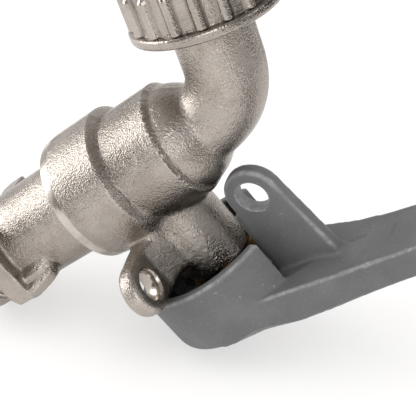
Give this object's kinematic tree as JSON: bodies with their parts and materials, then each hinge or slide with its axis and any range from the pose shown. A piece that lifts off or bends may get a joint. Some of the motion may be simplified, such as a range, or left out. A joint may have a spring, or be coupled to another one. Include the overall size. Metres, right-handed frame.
{
  "type": "rain barrel tap",
  "caption": "Lockable quarter-turn ball tap with a side-turning lever, padlock eyes, a curved spout and a ribbed union nut that holds a barbed hose tail.",
  "frame": {"origin": "on the inlet pipe axis, at the shoulder of the hexagon behind the inlet thread", "axes": "+X the way the water flows through the inlet, +Z along the stem towards the handle, +Y towards the side of the body's padlock lug"},
  "size_m": [0.1251, 0.0415, 0.0992],
  "materials": {
    "nickel_casting": "shot-blasted brass casting with a satin nickel plate",
    "nickel_nut": "satin nickel plate",
    "chrome_ball": "polished hard chrome",
    "brass": "bare turned brass",
    "ptfe": "white PTFE",
    "seal_rubber": "black seal rubber",
    "grey_coat": "grey powder coat on die-cast aluminium",
    "zinc_steel": "bright zinc plate"
  },
  "bodies": {
    "tap_body": {"body_casting": "nickel_casting", "inlet_end": "nickel_casting", "end_gasket": "ptfe", "inlet_seat": "ptfe", "outlet_seat": "ptfe", "inlet_seat_ring": "seal_rubber", "outlet_seat_ring": "seal_rubber", "thrust_washer": "ptfe", "packing_lower": "ptfe", "packing_upper": "ptfe", "gland_follower": "brass", "gland_nut": "brass", "outlet_washer": "seal_rubber", "hose_tail": "nickel_nut"},
    "handle": {"lever": "grey_coat", "stem": "brass", "ball": "chrome_ball", "lock_washer": "zinc_steel", "lever_nut": "zinc_steel"},
    "hose_nut": {"union_nut": "nickel_nut"}
  },
  "joints": [
    {"name": "handle_turn", "type": "hinge", "parent": "tap_body", "child": "handle", "pos_m": [0.0376, 0, 0.03], "axis": [0, 0, 1], "range_deg": [-12, 78]},
    {"name": "hose_nut_turn", "type": "hinge", "parent": "tap_body", "child": "hose_nut", "pos_m": [0.07155, 0, -0.02442], "axis": [0.3338, 0, -0.9426], "continuous": true}
  ]
}
